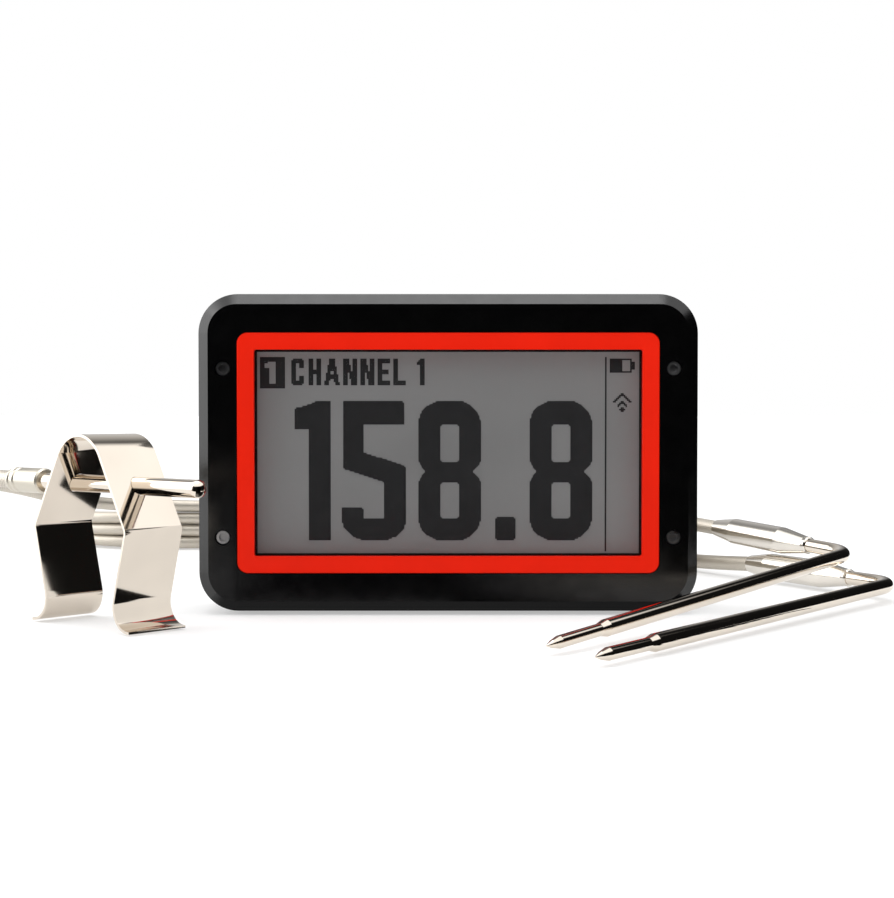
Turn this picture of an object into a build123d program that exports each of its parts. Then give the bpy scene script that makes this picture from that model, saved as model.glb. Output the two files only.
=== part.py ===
"""Leave-in meat thermometer set: a standing display unit, a clip-held ambient probe and two
bent food probes with braided cables.

Millimetres, +Z up. The origin is the centre of the display unit's rubber base strip, on the
surface it stands on. The display faces -Y and +X is to its right.
"""
import os
from math import cos, pi, radians, sin

from build123d import *

# ---------------------------------------------------------------- driving dimensions
# display unit
UNIT_WIDTH = 127.0
UNIT_DEPTH = 28.0
UNIT_TOP = 81.2
BASE_STAND_OFF = 0.5
CORNER_RADIUS = 10.0
FRONT_CHAMFER = 2.7
REAR_CHAMFER = 2.0
WALL = 2.2
FACE_THICKNESS = 2.5
SEAM_Y = -3.0
GASKET_THICKNESS = 0.8
GASKET_WIDTH = 1.4
# display
SURROUND_WIDTH = 107.0
SURROUND_HEIGHT = 61.0
SURROUND_RADIUS = 2.8
SURROUND_RING = 4.3
SURROUND_DEPTH = 3.6
FLANGE_WIDTH = 98.0
FLANGE_OVERLAP = 1.9
FLANGE_THICKNESS = 0.9
WINDOW_LIP = 1.0
WINDOW_THICKNESS = 1.4
GLASS_THICKNESS = 2.0
BACKLIGHT_THICKNESS = 1.5
CARRIER_WIDTH = 108.4
CARRIER_HEIGHT = 66.0
FIT_GAP = 0.1
# fastenings
HOUSING_SCREW_X = 57.1
HOUSING_SCREW_Z = 21.4
SCREW_HEAD_RADIUS = 1.9
SCREW_HEAD_DEPTH = 1.5
SCREW_HEAD_SINK = 0.45
SCREW_SHANK_RADIUS = 1.25
SCREW_END_Y = 4.0
SCREW_SOCKET_RADIUS = 1.0
BOSS_RADIUS = 2.6
BOARD_SCREW_X = 48.0
BOARD_SCREW_Z = 29.0
BOARD_SCREW_RADIUS = 1.0
BOARD_SCREW_HEAD_RADIUS = 1.9
BOARD_SCREW_HEAD_HEIGHT = 1.3
BOARD_SCREW_END_Y = 8.0
SCREW_HOLE_SPARE = 0.5
# electronics
BOARD_WIDTH = 107.0
BOARD_HEIGHT = 68.0
BOARD_THICKNESS = 1.6
BATTERY_SIZE = (60.0, 6.8, 44.0)
JACK_PITCH = 11.0
JACK_BLOCK = (12.0, 8.0, 7.0)
JACK_NOSE_RADIUS = 3.0
JACK_BORE_RADIUS = 1.28
JACK_BORE_DEPTH = 12.5
MAGNET_RADIUS = 6.0
MAGNET_THICKNESS = 3.0
MAGNET_X = 40.0
MAGNET_Z = 22.0
BUTTON_X = 35.0
BUTTON_RADIUS = 4.0
BUTTON_PROUD = 1.0
BUTTON_TRAVEL = 0.7
BUTTON_STEM = 5.5
BUTTON_CLEARANCE = 0.3
SOCKET_X = -35.0
BASE_STRIP_WIDTH = 100.0
BASE_STRIP_DEPTH = 12.0
BASE_STRIP_Y = 5.0
BASE_STRIP_THICKNESS = 1.4
SOCKET_OPENING = (9.0, 3.2)
SOCKET_LENGTH = 8.0
SOCKET_TONGUE = (6.6, 0.8, 5.6)
BATTERY_PAD = (50.0, 36.0)
MODULE_WIDTH = 18.0
MODULE_HEIGHT = 9.5
MODULE_DEPTH = 2.6
MODULE_RISE = 28.25
BUZZER_X = 22.0
BUZZER_DROP = 28.0
BUZZER_RADIUS = 4.5
BUZZER_DEPTH = 4.0
CONNECTOR_WIDTH = 50.0
CONNECTOR_HEIGHT = 4.0
CONNECTOR_DROP = 28.0
# grill clip
CLIP_X = -83.1
CLIP_Y = -31.2
CLIP_TURN = -42.0
CLIP_SEAT = 0.8
CLIP_STRIP_WIDTH = 16.4
CLIP_STRIP_THICKNESS = 0.6
CLIP_ARCH_RADIUS = 10.0
CLIP_HEIGHT = 46.0
CLIP_KNEE = (18.3, 23.6)
CLIP_KNEE_RADIUS = 1.6
CLIP_ANKLE = (13.9, 7.4)
CLIP_TOE = (19.6, 0.35)
# ambient probe
ROD_HEIGHT = 33.8
ROD_RADIUS = 2.15
ROD_TIP_REACH = 37.3
ROD_REAR_REACH = -26.0
AMBIENT_SLEEVE_RADIUS = 3.2
AMBIENT_SLEEVE_LENGTH = 15.0
CLIP_HOLE_RADIUS = 2.22
# food probes
SHAFT_RADIUS = 2.0
TIP_RADIUS = 1.45
TIP_LENGTH = 15.0
POINT_LENGTH = 4.5
STEP_LENGTH = 2.5
SHAFT_LENGTH = 137.0
BEND_RADIUS = 11.0
BEND_ANGLE = 68.0
BEND_TAIL = 13.5
SLEEVE_RADIUS = 3.95
SLEEVE_NOSE_RADIUS = 2.5
SLEEVE_REAR_RADIUS = 2.65
SLEEVE_NOSE_LENGTH = 12.0
SLEEVE_BODY_LENGTH = 22.0
SLEEVE_REAR_LENGTH = 9.0
# cables and plugs
CABLE_DIAMETER = 4.5
PLUG_RADIUS = 3.4
PLUG_LENGTH = 18.0
RELIEF_LENGTH = 9.0
PLUG_CONTACT_RADIUS = 1.25
PLUG_CONTACT_LENGTH = 11.0

MID_Z = (UNIT_TOP + BASE_STAND_OFF) / 2
FRONT_Y = -UNIT_DEPTH / 2
BACK_Y = UNIT_DEPTH / 2
BOARD_Y = 0.0
BOARD_REAR_Y = BOARD_Y + BOARD_THICKNESS
JACK_Y = BOARD_REAR_Y + FIT_GAP + JACK_BLOCK[1] / 2
CABLE_RADIUS = CABLE_DIAMETER / 2

# ---------------------------------------------------------------- shared shapes


def block(x0, x1, y0, y1, z0, z1):
    """An upright box between two corners."""
    return Pos((x0 + x1) / 2, (y0 + y1) / 2, (z0 + z1) / 2) * Box(x1 - x0, y1 - y0, z1 - z0)


def slab(width, height, y0, y1, radius=0.0, x=0.0, z=MID_Z):
    """A plate facing -Y, centred on the display, with rounded corners when a radius is given."""
    plate = Pos(x, (y0 + y1) / 2, z) * Box(width, y1 - y0, height)
    if radius > 0:
        plate = fillet(plate.edges().filter_by(Axis.Y), radius)
    return plate


def rod_y(x, z, radius, y0, y1):
    """A cylinder along Y from y0 to y1."""
    return Pos(x, (y0 + y1) / 2, z) * Rot(90, 0, 0) * Cylinder(radius, y1 - y0)


def rod_x(y, z, radius, x0, x1):
    """A cylinder along X from x0 to x1."""
    return Pos((x0 + x1) / 2, y, z) * Rot(0, 90, 0) * Cylinder(radius, x1 - x0)


def four_corners(reach_x, reach_z):
    """The four points at plus and minus the reach from the middle of the display."""
    return [(sx * reach_x, MID_Z + sz * reach_z) for sx in (-1, 1) for sz in (-1, 1)]


def turned_piece(stations):
    """A solid turned about its own +X axis from (distance, radius) stations."""
    outline = [(stations[0][0], 0)] + list(stations) + [(stations[-1][0], 0)]
    outline = [p for i, p in enumerate(outline) if i == 0 or p != outline[i - 1]]
    face = make_face(Polyline(*outline, close=True))
    return revolve(face, Axis.X, 360)


def solids_of(shapes):
    """Separate solids kept together as one node."""
    return Compound(children=[s for shape in shapes for s in shape.solids()])


parts = {}

# ---------------------------------------------------------------- housing shells


def housing_block(inset=0.0):
    """The rounded outer form of the housing, or the cavity inside it when inset by the wall."""
    height = UNIT_TOP - BASE_STAND_OFF - 2 * inset
    return slab(UNIT_WIDTH - 2 * inset, height, FRONT_Y + (FACE_THICKNESS if inset else 0),
                BACK_Y - inset, CORNER_RADIUS - inset)


def outer_form():
    """The housing's outside with its broad front bevel and smaller rear bevel."""
    form = housing_block()
    front = form.faces().sort_by(Axis.Y)[0]
    form = chamfer(front.edges(), FRONT_CHAMFER)
    rear = form.faces().sort_by(Axis.Y)[-1]
    return chamfer(rear.edges(), REAR_CHAMFER)


def front_bezel():
    """The front shell: a thick face with the display opening, and screw bosses behind it."""
    shell = outer_form() - housing_block(WALL)
    shell -= block(-UNIT_WIDTH, UNIT_WIDTH, SEAM_Y, UNIT_DEPTH, -UNIT_TOP, 2 * UNIT_TOP)
    face_back = FRONT_Y + FACE_THICKNESS
    for x, z in four_corners(HOUSING_SCREW_X, HOUSING_SCREW_Z):
        shell += rod_y(x, z, BOSS_RADIUS, face_back - 0.5, SEAM_Y)
    shell -= slab(SURROUND_WIDTH + 2 * FIT_GAP, SURROUND_HEIGHT + 2 * FIT_GAP, FRONT_Y - 1,
                  face_back + 1, SURROUND_RADIUS + FIT_GAP)
    for x, z in four_corners(HOUSING_SCREW_X, HOUSING_SCREW_Z):
        shell -= rod_y(x, z, SCREW_HEAD_RADIUS + FIT_GAP, FRONT_Y - 1, FRONT_Y + SCREW_HEAD_DEPTH + 0.6)
        shell -= rod_y(x, z, SCREW_SHANK_RADIUS + FIT_GAP, FRONT_Y, SEAM_Y + 1)
    return shell


def rear_cover():
    """The rear shell with screw bosses, board posts, side jack holes and top openings."""
    shell = outer_form() - housing_block(WALL)
    front_cut = SEAM_Y + GASKET_THICKNESS
    shell -= block(-UNIT_WIDTH, UNIT_WIDTH, -UNIT_DEPTH, front_cut, -UNIT_TOP, 2 * UNIT_TOP)
    inner_back = BACK_Y - WALL
    for x, z in four_corners(HOUSING_SCREW_X, HOUSING_SCREW_Z):
        shell += rod_y(x, z, BOSS_RADIUS, front_cut + 0.2, inner_back + 0.5)
    for x, z in four_corners(BOARD_SCREW_X, BOARD_SCREW_Z):
        shell += rod_y(x, z, BOSS_RADIUS, BOARD_REAR_Y, inner_back + 0.5)
    for x, z in four_corners(HOUSING_SCREW_X, HOUSING_SCREW_Z):
        shell -= rod_y(x, z, SCREW_SHANK_RADIUS + 0.02, front_cut - 1, SCREW_END_Y + SCREW_HOLE_SPARE)
    for x, z in four_corners(BOARD_SCREW_X, BOARD_SCREW_Z):
        shell -= rod_y(x, z, BOARD_SCREW_RADIUS + 0.02, BOARD_Y, BOARD_SCREW_END_Y + SCREW_HOLE_SPARE)
    for z in jack_heights():
        shell -= rod_x(JACK_Y, z, JACK_NOSE_RADIUS + FIT_GAP, -UNIT_WIDTH, UNIT_WIDTH)
    shell -= Pos(BUTTON_X, JACK_Y, UNIT_TOP) * Cylinder(BUTTON_RADIUS + BUTTON_CLEARANCE, 4 * WALL)
    opening = Pos(SOCKET_X, JACK_Y, UNIT_TOP) * Box(SOCKET_OPENING[0] + 1.4, SOCKET_OPENING[1] + 1.4, 3 * WALL)
    shell -= fillet(opening.edges().filter_by(Axis.Z), 1.6)
    reach_x = BASE_STRIP_WIDTH / 2 + FIT_GAP
    reach_y = BASE_STRIP_DEPTH / 2 + FIT_GAP
    shell -= block(-reach_x, reach_x, BASE_STRIP_Y - reach_y, BASE_STRIP_Y + reach_y, 0, BASE_STRIP_THICKNESS)
    return shell


def jack_heights():
    """The three jack heights on each side."""
    return [MID_Z + i * JACK_PITCH for i in (-1, 0, 1)]


def housing_gasket():
    """The soft seal squeezed between the two shells."""
    y1 = SEAM_Y + GASKET_THICKNESS
    inset = 0.4
    height = UNIT_TOP - BASE_STAND_OFF
    outer = slab(UNIT_WIDTH - 2 * inset, height - 2 * inset, SEAM_Y, y1, CORNER_RADIUS - inset)
    inner_inset = inset + GASKET_WIDTH
    inner = slab(UNIT_WIDTH - 2 * inner_inset, height - 2 * inner_inset, SEAM_Y - 1, y1 + 1,
                 CORNER_RADIUS - inner_inset)
    return outer - inner


def base_strip():
    """The rubber strip that the unit stands on, let into the housing's lower edge."""
    strip = block(-BASE_STRIP_WIDTH / 2, BASE_STRIP_WIDTH / 2, BASE_STRIP_Y - BASE_STRIP_DEPTH / 2,
                  BASE_STRIP_Y + BASE_STRIP_DEPTH / 2, 0, BASE_STRIP_THICKNESS)
    return fillet(strip.edges().filter_by(Axis.Z), 3.0)


def housing_screws():
    """Four socket-head screws let into the face, running back into the rear bosses."""
    screws = []
    for x, z in four_corners(HOUSING_SCREW_X, HOUSING_SCREW_Z):
        head_y = FRONT_Y + SCREW_HEAD_SINK
        screw = rod_y(x, z, SCREW_HEAD_RADIUS, head_y, head_y + SCREW_HEAD_DEPTH)
        screw = chamfer(screw.edges().sort_by(Axis.Y)[0], 0.25)
        screw += rod_y(x, z, SCREW_SHANK_RADIUS, head_y + SCREW_HEAD_DEPTH - 0.1, SCREW_END_Y)
        screw -= rod_y(x, z, SCREW_SOCKET_RADIUS, head_y - 1, head_y + 1.0)
        screws.append(screw)
    return solids_of(screws)


parts["front_bezel"] = front_bezel()
parts["rear_cover"] = rear_cover()
parts["housing_gasket"] = housing_gasket()
parts["base_strip"] = base_strip()
parts["housing_screws"] = housing_screws()

# ---------------------------------------------------------------- display

SURROUND_BACK_Y = FRONT_Y + SURROUND_DEPTH
WINDOW_WIDTH = SURROUND_WIDTH - 2 * SURROUND_RING
WINDOW_HEIGHT = SURROUND_HEIGHT - 2 * SURROUND_RING
REBATE_WIDTH = WINDOW_WIDTH + 2 * WINDOW_LIP
REBATE_HEIGHT = WINDOW_HEIGHT + 2 * WINDOW_LIP
WINDOW_BACK_Y = SURROUND_BACK_Y - FIT_GAP
WINDOW_FRONT_Y = WINDOW_BACK_Y - WINDOW_THICKNESS
GLASS_FRONT_Y = SURROUND_BACK_Y + FIT_GAP
GLASS_WIDTH = WINDOW_WIDTH + 4.0
GLASS_HEIGHT = WINDOW_HEIGHT + 4.6
BACKLIGHT_Y = GLASS_FRONT_Y + GLASS_THICKNESS + FIT_GAP
CARRIER_BACK_Y = BACKLIGHT_Y + BACKLIGHT_THICKNESS + 1.0


def display_surround():
    """The coloured ring round the window, with retaining flanges above and below."""
    ring = slab(SURROUND_WIDTH, SURROUND_HEIGHT, FRONT_Y, SURROUND_BACK_Y, SURROUND_RADIUS)
    front = ring.faces().sort_by(Axis.Y)[0]
    ring = fillet(front.edges(), 0.35)
    flange_y = SURROUND_BACK_Y - FLANGE_THICKNESS
    ring += slab(FLANGE_WIDTH, SURROUND_HEIGHT + 2 * FLANGE_OVERLAP, flange_y, SURROUND_BACK_Y)
    ring -= slab(WINDOW_WIDTH, WINDOW_HEIGHT, FRONT_Y - 1, BACK_Y, 0.6)
    ring -= slab(REBATE_WIDTH + 2 * FIT_GAP, REBATE_HEIGHT + 2 * FIT_GAP,
                 WINDOW_FRONT_Y - FIT_GAP, BACK_Y)
    return ring


def display_carrier():
    """The tray that holds the glass and its backlight against the surround."""
    tray = slab(CARRIER_WIDTH, CARRIER_HEIGHT, GLASS_FRONT_Y, CARRIER_BACK_Y, 1.5)
    tray -= slab(GLASS_WIDTH + 2 * FIT_GAP, GLASS_HEIGHT + 2 * FIT_GAP, GLASS_FRONT_Y - 1,
                 BACKLIGHT_Y + BACKLIGHT_THICKNESS + FIT_GAP)
    return tray


def display_connector():
    """The pin strip between the display tray and the circuit board."""
    low = MID_Z - CONNECTOR_DROP - CONNECTOR_HEIGHT / 2
    return block(-CONNECTOR_WIDTH / 2, CONNECTOR_WIDTH / 2, CARRIER_BACK_Y + FIT_GAP, BOARD_Y - FIT_GAP,
                 low, low + CONNECTOR_HEIGHT)


parts["display_surround"] = display_surround()
parts["display_window"] = slab(REBATE_WIDTH, REBATE_HEIGHT, WINDOW_FRONT_Y, WINDOW_BACK_Y, 0.5)
parts["lcd_glass"] = slab(GLASS_WIDTH, GLASS_HEIGHT, GLASS_FRONT_Y, GLASS_FRONT_Y + GLASS_THICKNESS)
parts["backlight_panel"] = slab(GLASS_WIDTH - 1, GLASS_HEIGHT - 1, BACKLIGHT_Y,
                                BACKLIGHT_Y + BACKLIGHT_THICKNESS)
parts["display_carrier"] = display_carrier()
parts["display_connector"] = display_connector()

# ---------------------------------------------------------------- electronics


def main_board():
    """The circuit board, held on four posts of the rear cover."""
    board = slab(BOARD_WIDTH, BOARD_HEIGHT, BOARD_Y, BOARD_REAR_Y, 2.0)
    for x, z in four_corners(BOARD_SCREW_X, BOARD_SCREW_Z):
        board -= rod_y(x, z, BOARD_SCREW_RADIUS + FIT_GAP, BOARD_Y - 1, BOARD_REAR_Y + 1)
    return board


def board_screws():
    """Four pan-head screws through the board into the posts."""
    screws = []
    for x, z in four_corners(BOARD_SCREW_X, BOARD_SCREW_Z):
        head = rod_y(x, z, BOARD_SCREW_HEAD_RADIUS, BOARD_Y - BOARD_SCREW_HEAD_HEIGHT, BOARD_Y)
        head = fillet(head.edges().sort_by(Axis.Y)[0], 0.6)
        screws.append(head + rod_y(x, z, BOARD_SCREW_RADIUS, BOARD_Y - 0.1, BOARD_SCREW_END_Y))
    return solids_of(screws)


def probe_jacks(side):
    """Three miniature sockets on one side, each a block on the board with a round nose."""
    wall_x = UNIT_WIDTH / 2 - 0.3
    inner_x = UNIT_WIDTH / 2 - WALL - 0.2
    jacks = []
    for z in jack_heights():
        jack = block(inner_x - JACK_BLOCK[0], inner_x, JACK_Y - JACK_BLOCK[1] / 2,
                     JACK_Y + JACK_BLOCK[1] / 2, z - JACK_BLOCK[2] / 2, z + JACK_BLOCK[2] / 2)
        jack += rod_x(JACK_Y, z, JACK_NOSE_RADIUS, inner_x - 1, wall_x)
        jack -= rod_x(JACK_Y, z, JACK_BORE_RADIUS, wall_x - JACK_BORE_DEPTH, wall_x + 1)
        jacks.append(jack if side > 0 else mirror(jack, about=Plane.YZ))
    return solids_of(jacks)


def battery_pack():
    """The flat rechargeable cell."""
    width, depth, height = BATTERY_SIZE
    y0 = BACK_Y - WALL - 0.6 - depth
    cell = block(-width / 2, width / 2, y0, y0 + depth, MID_Z - height / 2, MID_Z + height / 2)
    return fillet(cell.edges().filter_by(Axis.Z), 2.0)


def mounting_magnets():
    """Four discs inside the back wall that hold the unit to steel."""
    discs = []
    for x, z in four_corners(MAGNET_X, MAGNET_Z):
        y1 = BACK_Y - WALL - FIT_GAP
        discs.append(rod_y(x, z, MAGNET_RADIUS, y1 - MAGNET_THICKNESS, y1))
    return solids_of(discs)


def power_button():
    """A round cap that slides down in the top wall."""
    cap_top = UNIT_TOP + BUTTON_PROUD
    stem_bottom = UNIT_TOP - BUTTON_STEM
    cap = Pos(BUTTON_X, JACK_Y, (cap_top + stem_bottom) / 2) * Cylinder(BUTTON_RADIUS, cap_top - stem_bottom)
    cap = fillet(cap.edges().sort_by(Axis.Z)[-1], 0.6)
    flange = Pos(BUTTON_X, JACK_Y, UNIT_TOP - WALL - BUTTON_CLEARANCE - 0.5) * Cylinder(BUTTON_RADIUS + 1.0, 1.0)
    return cap + flange


def button_switch():
    """The small push switch under the power button."""
    top = UNIT_TOP - BUTTON_STEM - BUTTON_TRAVEL - BUTTON_CLEARANCE
    body = block(BUTTON_X - 3, BUTTON_X + 3, BOARD_REAR_Y + FIT_GAP, JACK_Y + 2.5, top - 4.0, top - 1.0)
    return body + Pos(BUTTON_X, JACK_Y, top - 0.8) * Cylinder(1.2, 1.6)


def charging_socket():
    """The flat charging socket let into the top wall."""
    length, width = SOCKET_OPENING
    shell = Pos(SOCKET_X, JACK_Y, UNIT_TOP - SOCKET_LENGTH / 2 - 0.2) * Box(length + 1.0, width + 1.0, SOCKET_LENGTH)
    shell = fillet(shell.edges().filter_by(Axis.Z), 1.3)
    hollow = Pos(SOCKET_X, JACK_Y, UNIT_TOP - SOCKET_LENGTH / 2 + 0.5) * Box(length, width, SOCKET_LENGTH)
    shell -= fillet(hollow.edges().filter_by(Axis.Z), 1.0)
    shell += Pos(SOCKET_X, JACK_Y, UNIT_TOP - 5.0) * Box(*SOCKET_TONGUE)
    return shell


parts["main_circuit_board"] = main_board()
parts["board_screws"] = board_screws()
parts["probe_jacks_right"] = probe_jacks(1)
parts["probe_jacks_left"] = probe_jacks(-1)
parts["battery_pack"] = battery_pack()
parts["battery_pad"] = slab(*BATTERY_PAD, BACK_Y - WALL - 0.5, BACK_Y - WALL - 0.05)
parts["mounting_magnets"] = mounting_magnets()
parts["power_button"] = power_button()
parts["button_switch"] = button_switch()
parts["charging_socket"] = charging_socket()
parts["wireless_module"] = slab(MODULE_WIDTH, MODULE_HEIGHT, BOARD_REAR_Y + FIT_GAP, BOARD_REAR_Y + MODULE_DEPTH,
                                z=MID_Z + MODULE_RISE)
parts["alarm_buzzer"] = rod_y(BUZZER_X, MID_Z - BUZZER_DROP, BUZZER_RADIUS, BOARD_REAR_Y + FIT_GAP,
                              BOARD_REAR_Y + BUZZER_DEPTH)

# ---------------------------------------------------------------- grill clip

CLIP_LEG_LEAN = 54.4
CLIP_ACROSS = Vector(cos(radians(CLIP_TURN)), sin(radians(CLIP_TURN)), 0)
ROD_LINE = Plane(origin=(CLIP_X, CLIP_Y, ROD_HEIGHT), x_dir=CLIP_ACROSS, z_dir=(0, 0, 1))
CLIP_SIDE = Plane(origin=Vector(CLIP_X, CLIP_Y, 0) + CLIP_ACROSS * CLIP_SEAT, x_dir=CLIP_ACROSS,
                  z_dir=CLIP_ACROSS.cross(Vector(0, 0, 1)))


def clip_leg_points():
    """The arch's crown, quarter point and shoulder on one side, seen along the strip's width."""
    centre_z = CLIP_HEIGHT - CLIP_STRIP_THICKNESS / 2 - CLIP_ARCH_RADIUS
    lean = radians(CLIP_LEG_LEAN)
    crown = (0, centre_z + CLIP_ARCH_RADIUS)
    quarter = (CLIP_ARCH_RADIUS * sin(lean / 2), centre_z + CLIP_ARCH_RADIUS * cos(lean / 2))
    shoulder = (CLIP_ARCH_RADIUS * sin(lean), centre_z + CLIP_ARCH_RADIUS * cos(lean))
    return crown, quarter, shoulder


def clip_centre_line(side):
    """One leg's centre line, from the crown of the arch down to the out-turned toe."""
    crown, quarter, shoulder = [(side * p[0], p[1]) for p in clip_leg_points()]
    knee, ankle, toe = [(side * p[0], p[1]) for p in (CLIP_KNEE, CLIP_ANKLE, CLIP_TOE)]
    arch = ThreePointArc(crown, quarter, shoulder)
    leg = FilletPolyline(shoulder, knee, ankle, radius=CLIP_KNEE_RADIUS)
    foot = TangentArc(ankle, toe, tangent=leg % 1)
    return Wire([arch.edge(), *leg.edges(), foot.edge()])


def clip_strip():
    """The spring strip: one outline thickened both ways, given its width and pierced for the rod."""
    half = CLIP_STRIP_THICKNESS / 2
    strip = None
    for side in (-1, 1):
        line = clip_centre_line(side)
        outline = trace(line, CLIP_STRIP_THICKNESS)
        leg = extrude(CLIP_SIDE * outline, CLIP_STRIP_WIDTH / 2, both=True)
        strip = leg if strip is None else strip + leg
    strip -= block(-300, 300, -300, 300, -5, 0)
    hole = Cylinder(CLIP_HOLE_RADIUS, 80)
    strip -= ROD_LINE * Rot(0, 90, 0) * hole
    return strip


def ambient_rod():
    """The straight probe: a polished tube closed by a round end."""
    rod = turned_piece([(ROD_REAR_REACH, ROD_RADIUS), (ROD_TIP_REACH, ROD_RADIUS)])
    return ROD_LINE * fillet(rod.edges().sort_by(Axis.X)[-1], ROD_RADIUS - 0.05)


def ambient_sleeve():
    """The crimped transition tube at the rear of the ambient rod, with two crimp grooves."""
    front = ROD_REAR_REACH + 1.0
    rear = front - AMBIENT_SLEEVE_LENGTH
    radius = AMBIENT_SLEEVE_RADIUS
    groove = radius - 0.25
    stations = [(rear, CABLE_RADIUS + 0.35), (rear + 1.2, radius - 0.1)]
    for start in (rear + 2.0, rear + 4.2):
        stations += [(start, radius), (start + 0.35, groove), (start + 0.95, groove), (start + 1.3, radius)]
    stations += [(front - 0.5, radius), (front, radius - 0.4)]
    sleeve = turned_piece(stations)
    sleeve -= turned_piece([(ROD_REAR_REACH, ROD_RADIUS), (front + 1, ROD_RADIUS)])
    return ROD_LINE * sleeve


parts["grill_clip"] = clip_strip()
parts["ambient_rod"] = ambient_rod()
parts["ambient_sleeve"] = ambient_sleeve()

# ---------------------------------------------------------------- food probes


def food_bend_path():
    """The centre line of the probe's bend and of the short tail behind it, in the probe's own plane."""
    bend = TangentArc((SHAFT_LENGTH, 0), bend_end(), tangent=(1, 0))
    tail = Line(bend_end(), sleeve_start())
    return Wire([bend.edge(), tail.edge()])


def bend_end():
    """Where the bend ends, in the probe's plane."""
    turn = radians(BEND_ANGLE)
    return (SHAFT_LENGTH + BEND_RADIUS * sin(turn), BEND_RADIUS * (1 - cos(turn)))


def sleeve_start():
    """Where the sleeve's nose begins, in the probe's plane."""
    x, y = bend_end()
    turn = radians(BEND_ANGLE)
    return (x + BEND_TAIL * cos(turn), y + BEND_TAIL * sin(turn))


def food_shaft():
    """The pointed, stepped steel shaft with its bend, ending just inside the sleeve."""
    step_start = POINT_LENGTH + TIP_LENGTH
    stations = [(0, 0.12), (POINT_LENGTH * 0.45, TIP_RADIUS * 0.62), (POINT_LENGTH, TIP_RADIUS),
                (step_start, TIP_RADIUS), (step_start + STEP_LENGTH, SHAFT_RADIUS), (SHAFT_LENGTH, SHAFT_RADIUS)]
    straight = turned_piece(stations)
    end = Plane(origin=(SHAFT_LENGTH, 0, 0), x_dir=(0, 1, 0), z_dir=(1, 0, 0))
    curved = sweep(end * Circle(SHAFT_RADIUS), path=food_bend_path())
    return straight + curved


def food_sleeve():
    """The double-tapered transition sleeve, bored for the shaft's end."""
    body_start = SLEEVE_NOSE_LENGTH
    body_end = body_start + SLEEVE_BODY_LENGTH
    rear = body_end + SLEEVE_REAR_LENGTH
    stations = [(0, SLEEVE_NOSE_RADIUS - 0.3), (0.4, SLEEVE_NOSE_RADIUS), (1.6, SLEEVE_NOSE_RADIUS),
                (body_start, SLEEVE_RADIUS), (body_end, SLEEVE_RADIUS), (rear, SLEEVE_REAR_RADIUS)]
    sleeve = turned_piece(stations) - turned_piece([(-1, SHAFT_RADIUS), (4.0, SHAFT_RADIUS)])
    return sleeve_place() * sleeve


def sleeve_place():
    """The sleeve's nose, looking back along the cable, in the probe's plane."""
    turn = radians(BEND_ANGLE)
    nose = (sleeve_start()[0] - 4.0 * cos(turn), sleeve_start()[1] - 4.0 * sin(turn), 0)
    return Plane(origin=nose, x_dir=(cos(turn), sin(turn), 0), z_dir=(0, 0, 1))


def probe_plane(tip, heading, rise, roll):
    """The probe's plane: its tip, its heading on the table, its rise and its roll, in degrees."""
    along = Vector(cos(radians(heading)) * cos(radians(rise)), sin(radians(heading)) * cos(radians(rise)),
                   sin(radians(rise)))
    level = Vector(-sin(radians(heading)), cos(radians(heading)), 0)
    up = along.cross(level)
    side = level * cos(radians(roll)) + up * sin(radians(roll))
    return Plane(origin=tip, x_dir=along, z_dir=along.cross(side))


FOOD_A_PLANE = probe_plane((20.6, -80.4, 2.05), 49.9, 3.7, 1.74)
FOOD_B_PLANE = probe_plane((29.5, -95.0, 2.05), 50.3, 0.85, 0.0)


for probe, plane in (("a", FOOD_A_PLANE), ("b", FOOD_B_PLANE)):
    parts[f"food_shaft_{probe}"] = plane * food_shaft()
    parts[f"food_sleeve_{probe}"] = plane * food_sleeve()

# ---------------------------------------------------------------- cables and plugs

# Each route runs from the sleeve to the coil, or from the coil to the plug.
AMBIENT_LEAD = [(-129.5, 10.6, 34.0), (-146.0, 32.0, 34.0), (-154.0, 60.0, 32.5), (-154.5, 90.0, 29.5),
                (-147.0, 118.0, 26.0), (-138.0, 143.0, 20.5), (-123.0, 163.0, 17.0), (-105.0, 171.5, 16.1)]
AMBIENT_TAIL = [(-65.0, 203.0, 2.4), (-67.0, 221.5, 2.8), (-80.0, 235.0, 3.5), (-98.0, 236.5, 3.5)]
FOOD_A_LEAD = [(77.5, 97.4, 15.2), (69.5, 114.0, 14.0), (58.5, 129.5, 11.0), (43.0, 140.0, 7.5),
               (24.0, 143.5, 4.6), (3.5, 142.2, 3.2), (-16.0, 139.6, 3.3), (-35.7, 135.8, 3.7)]
FOOD_A_TAIL = [(-53.4, 122.4, 19.5), (-67.0, 112.0, 22.8), (-74.0, 97.0, 22.0), (-74.5, 80.0, 14.0),
               (-69.0, 65.0, 7.6), (-58.0, 54.0, 3.6), (-43.5, 48.5, 3.6)]
FOOD_B_LEAD = [(84.9, 84.5, 3.4), (77.0, 101.0, 2.6), (64.5, 115.5, 2.7), (46.9, 123.9, 3.7)]
FOOD_B_TAIL = [(27.8, 116.6, 19.5), (11.0, 111.8, 22.8), (-0.3, 97.5, 22.4), (-2.3, 80.0, 15.0),
               (1.0, 64.0, 8.2), (11.0, 51.5, 3.6), (26.0, 46.5, 3.6)]
ARC_SHARE = 0.45

# the ambient probe's loose coil: turns stacked at the front that fan out behind
LOOSE_X = -105.0
LOOSE_FRONT_Y = 169.2
LOOSE_RADIUS = 68.3
LOOSE_HOLE_RADIUS = 40.0
LOOSE_FRONT_WIDTH = 9.2
LOOSE_FRONT_HEIGHT = 18.5
LOOSE_REAR_HEIGHT = 4.9
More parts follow.
